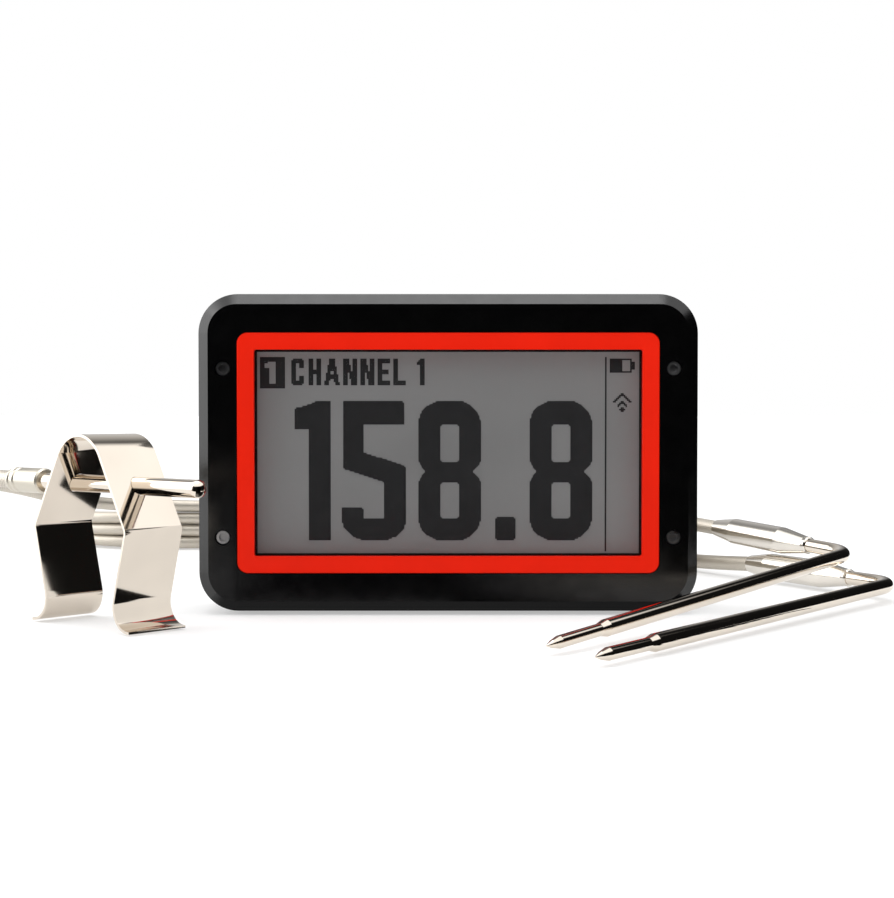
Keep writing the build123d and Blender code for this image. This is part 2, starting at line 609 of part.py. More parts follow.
# the food probes' neat tied coils
NEAT_A_CENTRE = (-38.0, 104.0)
NEAT_B_CENTRE = (36.0, 94.0)
NEAT_INNER_RADIUS = 20.2
NEAT_OUTER_RADIUS = 34.2
NEAT_BOTTOM = 1.4
NEAT_TOP = 19.8
TIE_WIDTH = 8.0
TIE_THICKNESS = 1.1


def cable_tube(name, points):
    """A round tube along straight runs joined by arcs as large as the runs allow."""
    corners = [Vector(*p) for p in points]
    radii = []
    for before, corner, after in zip(corners, corners[1:], corners[2:]):
        turn = radians((corner - before).get_angle(after - corner))
        shorter = min((corner - before).length, (after - corner).length)
        radii.append(ARC_SHARE * shorter / (sin(turn / 2) / cos(turn / 2)))
    path = FilletPolyline(*corners, radius=radii)
    start = Plane(origin=corners[0], z_dir=corners[1] - corners[0])
    tube = sweep(start * Circle(CABLE_RADIUS), path=path)
    length = sum(edge.length for edge in path.edges())
    print(name, "length", round(length, 1), "tightest radius", round(min(radii), 1),
          "volume ratio", round(tube.volume / (pi * CABLE_RADIUS**2 * length), 4))
    return tube


def loose_coil():
    """The ambient cable's coil: high and narrow in front, low and wide behind."""
    centre_y = LOOSE_FRONT_Y + LOOSE_RADIUS
    hole_y = LOOSE_FRONT_Y + LOOSE_FRONT_WIDTH + LOOSE_HOLE_RADIUS
    coil = Pos(LOOSE_X, centre_y, LOOSE_FRONT_HEIGHT / 2) * Cylinder(LOOSE_RADIUS, LOOSE_FRONT_HEIGHT)
    rear_y = LOOSE_FRONT_Y + 2 * LOOSE_RADIUS
    wedge = make_face(Polyline((LOOSE_FRONT_Y, LOOSE_FRONT_HEIGHT), (rear_y, LOOSE_REAR_HEIGHT),
                               (rear_y, 3 * LOOSE_FRONT_HEIGHT), (LOOSE_FRONT_Y, 3 * LOOSE_FRONT_HEIGHT),
                               close=True))
    side = Plane(origin=(LOOSE_X - LOOSE_RADIUS - 1, 0, 0), x_dir=(0, 1, 0), z_dir=(1, 0, 0))
    coil -= side * extrude(wedge, 2 * LOOSE_RADIUS + 2)
    return coil - Pos(LOOSE_X, hole_y, 0) * Cylinder(LOOSE_HOLE_RADIUS, 80)


def neat_coil(centre):
    """A round tied coil of many turns lying flat."""
    middle = Pos(centre[0], centre[1], (NEAT_BOTTOM + NEAT_TOP) / 2)
    height = NEAT_TOP - NEAT_BOTTOM
    coil = middle * Cylinder(NEAT_OUTER_RADIUS, height)
    coil = fillet(coil.edges().filter_by(GeomType.CIRCLE), 1.8)
    return coil - middle * Cylinder(NEAT_INNER_RADIUS, 2 * height)


def coil_tie(centre):
    """A strap closed round one side of a neat coil."""
    near, far = NEAT_INNER_RADIUS - 0.6, NEAT_OUTER_RADIUS + 0.15
    section = far - near
    height = NEAT_TOP - NEAT_BOTTOM + 0.2
    y = centre[1] - (far + near) / 2
    place = Pos(centre[0], y, (NEAT_BOTTOM + NEAT_TOP) / 2)
    outer = Box(TIE_WIDTH, section + 2 * TIE_THICKNESS, height + 2 * TIE_THICKNESS)
    outer = fillet(outer.edges().filter_by(Axis.X), 2.4)
    return place * (outer - Box(2 * TIE_WIDTH, section, height))


def plug_pieces(end, way):
    """A plug past the cable's end: tapered relief, body and stepped contact."""
    place = Plane(origin=end, x_dir=way, z_dir=way.cross(Vector(-way.Y, way.X, 0)))
    relief = turned_piece([(0, CABLE_RADIUS + 0.25), (RELIEF_LENGTH, PLUG_RADIUS - 0.5)])
    start = RELIEF_LENGTH
    stop = start + PLUG_LENGTH
    body = turned_piece([(start, PLUG_RADIUS - 0.3), (start + 0.5, PLUG_RADIUS),
                         (stop - 1.2, PLUG_RADIUS), (stop, PLUG_RADIUS - 1.0)])
    tip = stop + PLUG_CONTACT_LENGTH
    neck = PLUG_CONTACT_RADIUS - 0.3
    contact = turned_piece([(stop, PLUG_CONTACT_RADIUS), (tip - 2.9, PLUG_CONTACT_RADIUS), (tip - 2.2, neck),
                            (tip - 1.2, PLUG_CONTACT_RADIUS), (tip - 0.7, PLUG_CONTACT_RADIUS), (tip, 0.35)])
    return place * relief, place * body, place * contact


def cabled(name, exit_point, lead, tail, coil):
    """Adds one cable: its lead from the sleeve, its coil, its tail and its plug."""
    end = Vector(*tail[-1])
    way = (end - Vector(*tail[-2])).normalized()
    parts[f"{name}_cable_lead"] = cable_tube(name + " lead", [tuple(exit_point)] + lead)
    parts[f"{name}_cable_coil"] = coil
    parts[f"{name}_cable_tail"] = cable_tube(name + " tail", tail)
    relief, body, contact = plug_pieces(end, way)
    parts[f"{name}_plug_relief"] = relief
    parts[f"{name}_plug_body"] = body
    parts[f"{name}_plug_contact"] = contact


def food_cable_exit(plane):
    """The middle of a food sleeve's rear end."""
    length = SLEEVE_NOSE_LENGTH + SLEEVE_BODY_LENGTH + SLEEVE_REAR_LENGTH
    return plane.from_local_coords(sleeve_place().from_local_coords(Vector(length, 0, 0)))


ambient_exit = ROD_LINE.from_local_coords(Vector(ROD_REAR_REACH + 1.0 - AMBIENT_SLEEVE_LENGTH, 0, 0))
cabled("ambient", ambient_exit, AMBIENT_LEAD, AMBIENT_TAIL, loose_coil())
cabled("food_a", food_cable_exit(FOOD_A_PLANE), FOOD_A_LEAD, FOOD_A_TAIL, neat_coil(NEAT_A_CENTRE))
cabled("food_b", food_cable_exit(FOOD_B_PLANE), FOOD_B_LEAD, FOOD_B_TAIL, neat_coil(NEAT_B_CENTRE))
parts["food_a_coil_tie"] = coil_tie(NEAT_A_CENTRE)
parts["food_b_coil_tie"] = coil_tie(NEAT_B_CENTRE)

os.makedirs("parts", exist_ok=True)
for name, shape in parts.items():
    export_step(shape, f"parts/{name}.step")
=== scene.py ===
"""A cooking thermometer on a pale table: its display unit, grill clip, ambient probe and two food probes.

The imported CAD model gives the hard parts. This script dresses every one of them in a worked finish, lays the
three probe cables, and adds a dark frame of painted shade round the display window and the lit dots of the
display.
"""
import logging
import math
from dataclasses import dataclass
from enum import Enum
from typing import Protocol, Sequence

import bmesh
import bpy
from mathutils import Matrix, Vector


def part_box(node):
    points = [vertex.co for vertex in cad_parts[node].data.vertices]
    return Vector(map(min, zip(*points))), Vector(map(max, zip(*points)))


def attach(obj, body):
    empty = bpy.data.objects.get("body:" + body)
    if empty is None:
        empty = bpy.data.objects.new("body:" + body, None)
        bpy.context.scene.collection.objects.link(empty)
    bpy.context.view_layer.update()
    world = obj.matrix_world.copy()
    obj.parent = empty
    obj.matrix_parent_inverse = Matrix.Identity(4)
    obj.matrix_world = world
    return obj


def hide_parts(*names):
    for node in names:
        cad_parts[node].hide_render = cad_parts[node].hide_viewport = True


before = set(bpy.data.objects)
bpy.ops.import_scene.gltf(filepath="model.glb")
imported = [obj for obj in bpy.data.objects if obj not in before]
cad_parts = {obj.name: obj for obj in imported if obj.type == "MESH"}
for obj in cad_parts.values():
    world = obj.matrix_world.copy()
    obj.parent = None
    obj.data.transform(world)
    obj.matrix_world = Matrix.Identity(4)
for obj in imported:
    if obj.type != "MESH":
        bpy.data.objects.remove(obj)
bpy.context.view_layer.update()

Point = tuple[float, float, float]
Flat = tuple[float, float]
Colour = tuple[float, float, float]
Socket = bpy.types.NodeSocket

logging.basicConfig(level=logging.INFO, format="%(message)s")
log = logging.getLogger("thermometer")

MM = 0.001
FULL_TURN = 2 * math.pi
SAME_PLACE = 1e-6
FLAT_ANGLE = 0.01


class Body(Enum):
    """The bodies that the new pieces ride on."""

    DISPLAY_UNIT = "display_unit"
    AMBIENT_PROBE = "ambient_probe"
    FOOD_PROBE_A = "food_probe_a"
    FOOD_PROBE_B = "food_probe_b"


class Spread(Enum):
    """What a pattern follows: the place in space, or the piece's own map."""

    SPACE = "Object"
    SURFACE = "UV"


def metres(points: Sequence[Point]) -> list[Vector]:
    """Turns millimetres into metres.

    Args:
        points: The points, in millimetres.

    Returns:
        The same points as vectors, in metres.
    """
    return [Vector(point) * MM for point in points]


def smooth_step(value: float) -> float:
    """An even ramp from 0 to 1 that starts and stops gently.

    Args:
        value: How far along the ramp, which is held between 0 and 1.

    Returns:
        The ramp's height.
    """
    value = min(max(value, 0.0), 1.0)
    return value * value * (3 - 2 * value)


# ---------------------------------------------------------------------------------------------- finishes


class Paintbox:
    """One material under construction, with short ways to add and join its nodes."""

    def __init__(self, name: str) -> None:
        """Starts a material.

        Args:
            name: The material's name.
        """
        self.material = bpy.data.materials.new(name)
        self.material.use_nodes = True
        self.nodes = self.material.node_tree.nodes
        self.links = self.material.node_tree.links
        self.shader = self.nodes["Principled BSDF"]

    def node(self, kind: str, inputs: dict | None = None, **settings: object) -> bpy.types.Node:
        """Adds a node.

        Args:
            kind: The node's type, without its common prefix.
            inputs: A number, colour or socket for each input, by name or by place.
            settings: The node's own options.

        Returns:
            The new node.
        """
        made = self.nodes.new("ShaderNode" + kind)
        for option, choice in settings.items():
            setattr(made, option, choice)
        self.feed(made, inputs or {})
        return made

    def feed(self, node: bpy.types.Node, inputs: dict) -> None:
        """Sets or joins a node's inputs.

        Args:
            node: The node to feed.
            inputs: A number, colour or socket for each input, by name or by place.
        """
        for key, value in inputs.items():
            if isinstance(value, bpy.types.NodeSocket):
                self.links.new(value, node.inputs[key])
            else:
                node.inputs[key].default_value = value

    def place(self, scale: Point = (1, 1, 1), spread: Spread = Spread.SPACE) -> Socket:
        """Coordinates for a pattern.

        Args:
            scale: How often the pattern repeats per metre along each axis.
            spread: What the pattern follows.

        Returns:
            The coordinates.
        """
        source = self.node("TexCoord").outputs[spread.value]
        return self.node("Mapping", {"Vector": source, "Scale": scale}).outputs[0]

    def noise(self, place: Socket, scale: float, detail: float = 3.0) -> Socket:
        """A cloudy pattern.

        Args:
            place: The coordinates.
            scale: How fine the pattern is.
            detail: How many finer layers it has.

        Returns:
            The pattern's value.
        """
        return self.node("TexNoise", {"Vector": place, "Scale": scale, "Detail": detail}).outputs["Fac"]

    def sum(self, operation: str, first: Socket | float, second: Socket | float = 0.0) -> Socket:
        """One step of arithmetic.

        Args:
            operation: Blender's name for it.
            first: The first value.
            second: The second value.

        Returns:
            The answer.
        """
        return self.node("Math", {0: first, 1: second}, operation=operation).outputs[0]

    def level(self, value: Socket, low: float, high: float, start: float = 0.3, stop: float = 0.7) -> Socket:
        """Spreads a pattern between two values.

        Args:
            value: The pattern.
            low: What its start becomes.
            high: What its stop becomes.
            start: The pattern's low mark.
            stop: The pattern's high mark.

        Returns:
            The new value.
        """
        inputs = {"Value": value, "From Min": start, "From Max": stop, "To Min": low, "To Max": high}
        return self.node("MapRange", inputs).outputs[0]

    def shade(
        self, value: Socket, low: Colour, high: Colour, start: float = 0.3, stop: float = 0.7
    ) -> Socket:
        """Colours a pattern between two colours.

        Args:
            value: The pattern.
            low: The colour at its start.
            high: The colour at its stop.
            start: The pattern's low mark.
            stop: The pattern's high mark.

        Returns:
            The colour.
        """
        ramp = self.node("ValToRGB", {"Fac": value})
        ramp.color_ramp.elements[0].position = start
        ramp.color_ramp.elements[0].color = (*low, 1)
        ramp.color_ramp.elements[1].position = stop
        ramp.color_ramp.elements[1].color = (*high, 1)
        return ramp.outputs["Color"]

    def relief(self, height: Socket, depth: float, strength: float = 1.0) -> Socket:
        """Turns a pattern into small bumps.

        Args:
            height: The pattern.
            depth: How deep the bumps are, in metres.
            strength: How much they show.

        Returns:
            The bumped normal.
        """
        inputs = {"Height": height, "Distance": depth, "Strength": strength}
        return self.node("Bump", inputs).outputs["Normal"]

    def done(self, **inputs: object) -> bpy.types.Material:
        """Feeds the shader and hands over the material.

        Args:
            inputs: The shader's inputs, with an underscore for each space.

        Returns:
            The material.
        """
        self.feed(self.shader, {key.replace("_", " "): value for key, value in inputs.items()})
        return self.material


class Finish(Protocol):
    """Anything that can make its own material."""

    def make(self) -> bpy.types.Material:
        """The finished material."""
        ...


def toned(colour: Colour, share: float) -> Colour:
    """A colour made darker or lighter by a share of itself.

    Args:
        colour: The colour.
        share: What each of its parts is multiplied by.

    Returns:
        The new colour.
    """
    return tuple(min(1.0, part * share) for part in colour)


@dataclass(frozen=True)
class Moulded:
    """Moulded plastic or rubber: a fine grain, a faint wander of tone and of sheen."""

    name: str
    colour: Colour
    roughness: float = 0.4
    shine: float = 0.4
    grain: float = 2400.0
    depth: float = 0.000012
    wander: float = 0.12
    tone_scale: float = 90.0
    sheen_scale: float = 260.0

    def make(self) -> bpy.types.Material:
        """The finished material."""
        box = Paintbox(self.name)
        place = box.place()
        tone = box.noise(place, self.tone_scale)
        fine = box.noise(place, self.grain, 2.0)
        sheen = box.noise(place, self.sheen_scale)
        darker, lighter = toned(self.colour, 1 - self.wander), toned(self.colour, 1 + self.wander)
        return box.done(
            Base_Color=box.shade(tone, darker, lighter),
            Roughness=box.level(sheen, self.roughness - 0.04, self.roughness + 0.05),
            Specular_IOR_Level=self.shine,
            Normal=box.relief(fine, self.depth),
        )


@dataclass(frozen=True)
class Steel:
    """Stainless steel: a near mirror or a satin face, with faint hairlines along one axis."""

    name: str
    colour: Colour
    roughness: float = 0.08
    hairline: Point = (3000.0, 3000.0, 3000.0)
    depth: float = 0.0000015
    haze_scale: float = 60.0

    def make(self) -> bpy.types.Material:
        """The finished material."""
        box = Paintbox(self.name)
        haze = box.noise(box.place(), self.haze_scale)
        lines = box.noise(box.place(scale=self.hairline), 1.0, 2.0)
        return box.done(
            Metallic=1.0,
            Base_Color=box.shade(haze, toned(self.colour, 0.95), toned(self.colour, 1.03)),
            Roughness=box.level(haze, self.roughness * 0.8, self.roughness * 1.3),
            Normal=box.relief(lines, self.depth, 0.5),
        )


@dataclass(frozen=True)
class Braid:
    """A woven wire sleeve: two families of strands that wind round the cable against each other, with painted
    shade in the grooves between them.
    """

    name: str
    colour: Colour
    spread: Spread = Spread.SURFACE
    pitch: float = 0.0026
    strands: float = 7.0
    depth: float = 0.00006
    metal: float = 0.75
    dirt_scale: float = 300.0
    dirt_height: float = 0.15

    def make(self) -> bpy.types.Material:
        """The finished material."""
        box = Paintbox(self.name)
        place = box.place(spread=self.spread)
        parts = box.node("SeparateXYZ", {0: place}).outputs
        if self.spread is Spread.SURFACE:
            along = box.sum("MULTIPLY", parts[0], FULL_TURN / self.pitch)
            around = box.sum("MULTIPLY", parts[1], FULL_TURN * self.strands)
        else:
            rate = 2 * FULL_TURN / self.pitch
            along = box.sum("MULTIPLY", parts[2], rate)
            around = box.sum("MULTIPLY", box.sum("ADD", parts[0], parts[1]), rate)
        one = box.sum("ABSOLUTE", box.sum("SINE", box.sum("ADD", along, around)))
        other = box.sum("ABSOLUTE", box.sum("SINE", box.sum("SUBTRACT", along, around)))
        weave = box.sum("MAXIMUM", one, other)
        dirt = box.noise(box.place(), self.dirt_scale)
        height = box.sum("ADD", weave, box.sum("MULTIPLY", dirt, self.dirt_height))
        return box.done(
            Metallic=self.metal,
            # Darker in the low grooves between the strands: painted shade in the weave.
            Base_Color=box.shade(weave, toned(self.colour, 0.7), self.colour, 0.55, 0.95),
            Roughness=box.level(dirt, 0.4, 0.52),
            Normal=box.relief(height, self.depth, 0.6),
        )


@dataclass(frozen=True)
class ClearWindow:
    """A thin clear pane: it lets the display through and keeps a soft gloss."""

    name: str
    tint: Colour = (0.03, 0.03, 0.032)
    cover: float = 0.02
    smear_scale: float = 45.0

    def make(self) -> bpy.types.Material:
        """The finished material."""
        box = Paintbox(self.name)
        smear = box.noise(box.place(), self.smear_scale)
        return box.done(
            Base_Color=box.shade(smear, toned(self.tint, 0.92), self.tint),
            Roughness=box.level(smear, 0.05, 0.12),
            Alpha=self.cover,
            Specular_IOR_Level=0.3,
        )


@dataclass(frozen=True)
class DisplayGlass:
    """The grey face of the display: a faint net of dots, and a slightly uneven light."""

    name: str
    colour: Colour
    dot_pitch: float
    net_share: float = 0.12
    glow_scale: float = 22.0
    glow_strength: float = 0.12

    def make(self) -> bpy.types.Material:
        """The finished material."""
        box = Paintbox(self.name)
        glow = box.noise(box.place(scale=(1.0, 1.0, 1.6)), self.glow_scale, 1.0)
        parts = box.node("SeparateXYZ", {0: box.place()}).outputs
        step = math.pi / self.dot_pitch
        across = box.sum("ABSOLUTE", box.sum("SINE", box.sum("MULTIPLY", parts[0], step)))
        upward = box.sum("ABSOLUTE", box.sum("SINE", box.sum("MULTIPLY", parts[2], step)))
        net = box.sum("MINIMUM", across, upward)
        tone = box.sum("ADD", box.sum("MULTIPLY", net, self.net_share), glow)
        return box.done(
            Base_Color=box.shade(tone, toned(self.colour, 0.93), toned(self.colour, 1.08)),
            Roughness=0.55,
            Specular_IOR_Level=0.15,
            Emission_Color=(*self.colour, 1.0),
            Emission_Strength=self.glow_strength,
        )


@dataclass(frozen=True)
class BoardLacquer:
    """Green lacquer over copper tracks that run square to each other."""

    name: str
    colour: Colour
    track: float = 0.004
    depth: float = 0.00004

    def make(self) -> bpy.types.Material:
        """The finished material."""
        box = Paintbox(self.name)
        place = box.place(scale=(1 / self.track, 1.0, 1 / self.track))
        turned = box.node("Mapping", {"Vector": place, "Rotation": (math.pi / 2, 0.0, 0.0)}).outputs[0]
        tracks = box.node("TexBrick", {"Vector": turned, "Scale": 1.0, "Mortar Size": 0.05}).outputs["Fac"]
        return box.done(
            Base_Color=box.shade(tracks, self.colour, toned(self.colour, 2.2), 0.2, 0.8),
            Roughness=0.35,
            Normal=box.relief(tracks, self.depth),
        )


@dataclass(frozen=True)
class WovenStrap:
    """A strap of woven tape with a small looped pile."""

    name: str
    colour: Colour
    loops: float = 1400.0
    depth: float = 0.0002

    def make(self) -> bpy.types.Material:
        """The finished material."""
        box = Paintbox(self.name)
        place = box.place(scale=(self.loops,) * 3)
        weave = box.node("TexVoronoi", {"Vector": place, "Scale": 1.0}).outputs["Distance"]
        return box.done(
            Base_Color=box.shade(weave, toned(self.colour, 0.5), toned(self.colour, 1.6), 0.1, 0.8),
            Roughness=0.9,
            Specular_IOR_Level=0.2,
            Normal=box.relief(weave, self.depth),
        )


HOUSING_BLACK = Moulded("housing black", (0.0012, 0.0012, 0.0014), roughness=0.22, shine=0.42, wander=0.2)
SURROUND_RED = Moulded("surround red", (0.89, 0.014, 0.0006), roughness=0.45, shine=0.12, wander=0.03)
SEAL_RUBBER = Moulded("seal rubber", (0.012, 0.012, 0.013), roughness=0.75, shine=0.2)
BUTTON_RUBBER = Moulded("button rubber", (0.02, 0.02, 0.022), roughness=0.6, shine=0.3)
TRAY_BLACK = Moulded("tray black", (0.01, 0.01, 0.011), roughness=0.5)
JACK_BLACK = Moulded("jack black", (0.014, 0.014, 0.015), roughness=0.38)
RELIEF_BLACK = Moulded("relief black", (0.016, 0.016, 0.017), roughness=0.55, shine=0.3)
BATTERY_WRAP = Moulded("battery wrap", (0.05, 0.11, 0.32), roughness=0.28, depth=0.00002)
DIFFUSER_WHITE = Moulded("diffuser white", (0.78, 0.79, 0.8), roughness=0.5)
DISPLAY_INK = Moulded("display ink", (0.021, 0.021, 0.022), roughness=0.6, shine=0.1, wander=0.06)
# Near-black frame behind the window's edge: painted shade for the shadow gap between the red surround and the
# display.
SHADOW_GAP_DARK = Moulded("painted shadow gap", (0.012, 0.006, 0.006), roughness=0.5, shine=0.2)
POLISHED_STEEL = Steel("polished steel", (0.75, 0.675, 0.585), roughness=0.07)
SLEEVE_STEEL = Steel("sleeve steel", (0.74, 0.7, 0.64), roughness=0.13)
SATIN_STEEL = Steel("satin steel", (0.62, 0.58, 0.5), roughness=0.4, depth=0.000004)
PLUG_STEEL = Steel("plug steel", (0.8, 0.79, 0.77), roughness=0.22, hairline=(9000.0, 9000.0, 400.0))
CONTACT_NICKEL = Steel("contact nickel", (0.78, 0.74, 0.66), roughness=0.1)
MAGNET_NICKEL = Steel("magnet nickel", (0.7, 0.69, 0.66), roughness=0.14)
SCREW_STEEL = Steel("screw steel", (0.62, 0.62, 0.62), roughness=0.2)
SCREW_BLACK = Steel("screw black", (0.42, 0.42, 0.43), roughness=0.34)
CABLE_BRAID = Braid("braided steel", (0.6, 0.55, 0.475))
BULK_BRAID = Braid("braided steel in bulk", (0.6, 0.55, 0.475), spread=Spread.SPACE)
CLEAR_WINDOW = ClearWindow("clear window")
LCD_GREY = DisplayGlass("display grey", (0.18, 0.18, 0.18), dot_pitch=0.0004)
CIRCUIT_GREEN = BoardLacquer("circuit green", (0.01, 0.09, 0.03))
TIE_BLACK = WovenStrap("tie black", (0.02, 0.02, 0.021))

CABLES = ("ambient", "food_a", "food_b")
DRESSED_NODES: dict[Finish, tuple[str, ...]] = {
    HOUSING_BLACK: ("front_bezel", "rear_cover"),
    SURROUND_RED: ("display_surround",),
    SEAL_RUBBER: ("housing_gasket", "base_strip", "battery_pad"),
    BUTTON_RUBBER: ("power_button",),
    TRAY_BLACK: ("display_carrier", "display_connector", "button_switch", "alarm_buzzer"),
    JACK_BLACK: ("probe_jacks_left", "probe_jacks_right"),
    RELIEF_BLACK: tuple(f"{cable}_plug_relief" for cable in CABLES),
    BATTERY_WRAP: ("battery_pack",),
    DIFFUSER_WHITE: ("backlight_panel",),
    POLISHED_STEEL: ("grill_clip", "ambient_rod", "food_shaft_a", "food_shaft_b"),
    SLEEVE_STEEL: ("food_sleeve_a", "food_sleeve_b"),
    SATIN_STEEL: ("ambient_sleeve",),
    PLUG_STEEL: tuple(f"{cable}_plug_body" for cable in CABLES),
    CONTACT_NICKEL: tuple(f"{cable}_plug_contact" for cable in CABLES),
    MAGNET_NICKEL: ("mounting_magnets",),
    SCREW_STEEL: ("board_screws", "charging_socket", "wireless_module"),
    SCREW_BLACK: ("housing_screws",),
    BULK_BRAID: tuple(f"{cable}_cable_{part}" for cable in CABLES for part in ("lead", "coil", "tail")),
    CLEAR_WINDOW: ("display_window",),
    LCD_GREY: ("lcd_glass",),
    CIRCUIT_GREEN: ("main_circuit_board",),
    TIE_BLACK: ("food_a_coil_tie", "food_b_coil_tie"),
}


class Dressing:
    """Keeps one material for each finish and puts it on pieces and CAD nodes."""

    def __init__(self) -> None:
        """Starts with no materials made."""
        self.made: dict[Finish, bpy.types.Material] = {}

    def material(self, finish: Finish) -> bpy.types.Material:
        """The finish's one material, made when it is first asked for.

        Args:
            finish: The finish.

        Returns:
            The material.
        """
        if finish not in self.made:
            self.made[finish] = finish.make()
        return self.made[finish]

    def dress(self, piece: bpy.types.Object, finish: Finish) -> None:
        """Puts a finish all over a piece.

        Args:
            piece: The piece or CAD node.
            finish: Its finish.
        """
        if not piece.material_slots:
            piece.data.materials.append(None)
        for slot in piece.material_slots:
            slot.link = "OBJECT"
            slot.material = self.material(finish)

    def dress_nodes(self) -> None:
        """Puts the finishes on every CAD node."""
        for finish, names in DRESSED_NODES.items():
            for name in names:
                self.dress(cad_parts[name], finish)
        bare = set(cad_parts) - {name for names in DRESSED_NODES.values() for name in names}
        log.info("dressed %d CAD nodes, %s left bare", len(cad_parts), sorted(bare) or "none")


def add_piece(name: str, shape: bmesh.types.BMesh, body: Body) -> bpy.types.Object:
    """Turns a finished bmesh into a piece that rides on a body.

    Args:
        name: The piece's name.
        shape: The bmesh, in place and in metres. It is used up.
        body: The body that carries the piece.

    Returns:
        The new piece.
    """
    mesh = bpy.data.meshes.new(name)
    shape.to_mesh(mesh)
    shape.free()
    piece = bpy.data.objects.new(name, mesh)
    bpy.context.collection.objects.link(piece)
    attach(piece, body.value)
    log.info("made %s: %d faces", name, len(mesh.polygons))
    return piece


# ------------------------------------------------------------------------------------------------ cables


@dataclass
class CableTube:
    """Sweeps a round tube along a smooth line."""

    name: str
    diameter: float = 0.0045
    sides: int = 12

    def line(self, route: Sequence[Vector], steps: int) -> list[Vector]:
        """The smooth line that the route's control points give.

        Args:
            route: The control points, in metres.
            steps: How many short runs the line has for each control point.

        Returns:
            The line's points in order.
        """
        curve = bpy.data.curves.new(self.name + "_route", "CURVE")
        curve.dimensions = "3D"
        curve.resolution_u = steps
        spline = curve.splines.new("NURBS")
        spline.points.add(len(route) - 1)
        for control, place in zip(spline.points, route):
            control.co = (*place, 1.0)
        spline.order_u = 3
        spline.use_endpoint_u = True
        holder = bpy.data.objects.new(self.name + "_route", curve)
        bpy.context.collection.objects.link(holder)
        bpy.context.view_layer.update()
        seen = holder.evaluated_get(bpy.context.evaluated_depsgraph_get())
        mesh = bpy.data.meshes.new_from_object(seen)
        points = [vertex.co.copy() for vertex in mesh.vertices]
        bpy.data.objects.remove(holder)
        bpy.data.curves.remove(curve)
        bpy.data.meshes.remove(mesh)
        kept = [points[0]]
        for point in points[1:]:
            if (point - kept[-1]).length > SAME_PLACE:
                kept.append(point)
        return kept

    def tube(self, line: Sequence[Vector]) -> bmesh.types.BMesh:
        """A closed tube round the line, with a map that runs in metres along it.

        Args:
            line: The points that the tube's middle follows.

        Returns:
            The tube.
        """
        shape = bmesh.new()
        runs = shape.loops.layers.uv.new("along_and_around")
        rings: list[list[bmesh.types.BMVert]] = []
        way = (line[1] - line[0]).normalized()
        facing = way.to_track_quat("Z", "Y")
        for index, middle in enumerate(line):
            before = line[max(index - 1, 0)]
            after = line[min(index + 1, len(line) - 1)]
            new_way = (after - before).normalized()
            facing = way.rotation_difference(new_way) @ facing
            way = new_way
            turned = Matrix.Translation(middle) @ facing.to_matrix().to_4x4()
            made = bmesh.ops.create_circle(
                shape, cap_ends=False, radius=self.diameter / 2, segments=self.sides, matrix=turned
            )
            rings.append(made["verts"])
        run = 0.0
        for index, (near, far) in enumerate(zip(rings, rings[1:])):
            next_run = run + (line[index + 1] - line[index]).length
            for side in range(self.sides):
                other = (side + 1) % self.sides
                face = shape.faces.new((near[side], near[other], far[other], far[side]))
                face.smooth = True
                places = ((run, side), (run, side + 1), (next_run, side + 1), (next_run, side))
                for loop, (along, around) in zip(face.loops, places):
                    loop[runs].uv = (along, around / self.sides)
            run = next_run
        for ring in (rings[0], rings[-1]):
            shape.faces.new(ring)
        bmesh.ops.recalc_face_normals(shape, faces=shape.faces)
        return shape


@dataclass
class ProbeCable:
    """One probe's braided cable, from its sleeve through its coil to its plug.

    The lead and tail are in millimetres, as are the sizes of the coils below.
    """

    name: str
    body: Body
    exit: Point
    lead: Sequence[Point]
    tail: Sequence[Point]
    length: float
    diameter: float = 0.0045
    overlap: float = 1.5
    points_per_turn: int = 20
    steps: int = 6

    def coil(self) -> list[Point]:
        """The coil's control points, in order along the cable."""
        raise NotImplementedError

    def route(self) -> list[Vector]:
        """Every control point, from inside the sleeve to inside the plug's relief, in metres."""
        first = Vector(self.exit)
        inward = (first - Vector(self.lead[0])).normalized()
        last = Vector(self.tail[-1])
        onward = (last - Vector(self.tail[-2])).normalized()
        start = tuple(first + inward * self.overlap)
        end = tuple(last + onward * self.overlap)
        return metres([start, self.exit, *self.lead, *self.coil(), *self.tail, end])

    def build(self, dressing: Dressing) -> bpy.types.Object:
        """Args:
            dressing: The finishes.

        Returns:
            The cable.
        """
        sweep = CableTube(self.name + "_cable", self.diameter)
        line = sweep.line(self.route(), self.steps)
        cable = add_piece(self.name + "_cable", sweep.tube(line), self.body)
        dressing.dress(cable, CABLE_BRAID)
        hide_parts(*(f"{self.name}_cable_{part}" for part in ("lead", "coil", "tail")))
        laid = sum((after - before).length for before, after in zip(line, line[1:]))
        log.info("%s cable: %.3f m laid, %.2f m declared", self.name, laid, self.length)
        return cable

    def ties(self) -> list[bpy.types.Object]:
        """The straps that hold the coil."""
        return []


@dataclass
class LooseCable(ProbeCable):
    """A cable in loose turns that stack at the front and fan out behind."""

    front: Flat = (-105.0, 171.5)
    first_radius: float = 66.0
    radius_drop: float = 6.0
    first_height: float = 13.8
    height_drop: float = 4.6
    floor_height: float = 2.3
    turns: float = 4.0
    last_shift: float = 4.9
    last_angle: float = 60.0

    def coil(self) -> list[Point]:
        """The coil's control points, in order along the cable."""
        step = 360 / self.points_per_turn
        count = round((360 * self.turns + self.last_angle) / step)
        points = []
        for index in range(1, count + 1):
            turn = index * step / 360
            angle = FULL_TURN * turn
            radius = self.first_radius - self.radius_drop * turn
            shift = self.last_shift * smooth_step(turn - self.turns + 1)
            rise = (self.first_height - self.height_drop * turn) * (1 + math.cos(angle)) / 2
            x = self.front[0] + radius * math.sin(angle)
            y = self.front[1] + shift + radius * (1 - math.cos(angle))
            points.append((x, y, self.floor_height + max(rise, 0.0)))
        return points


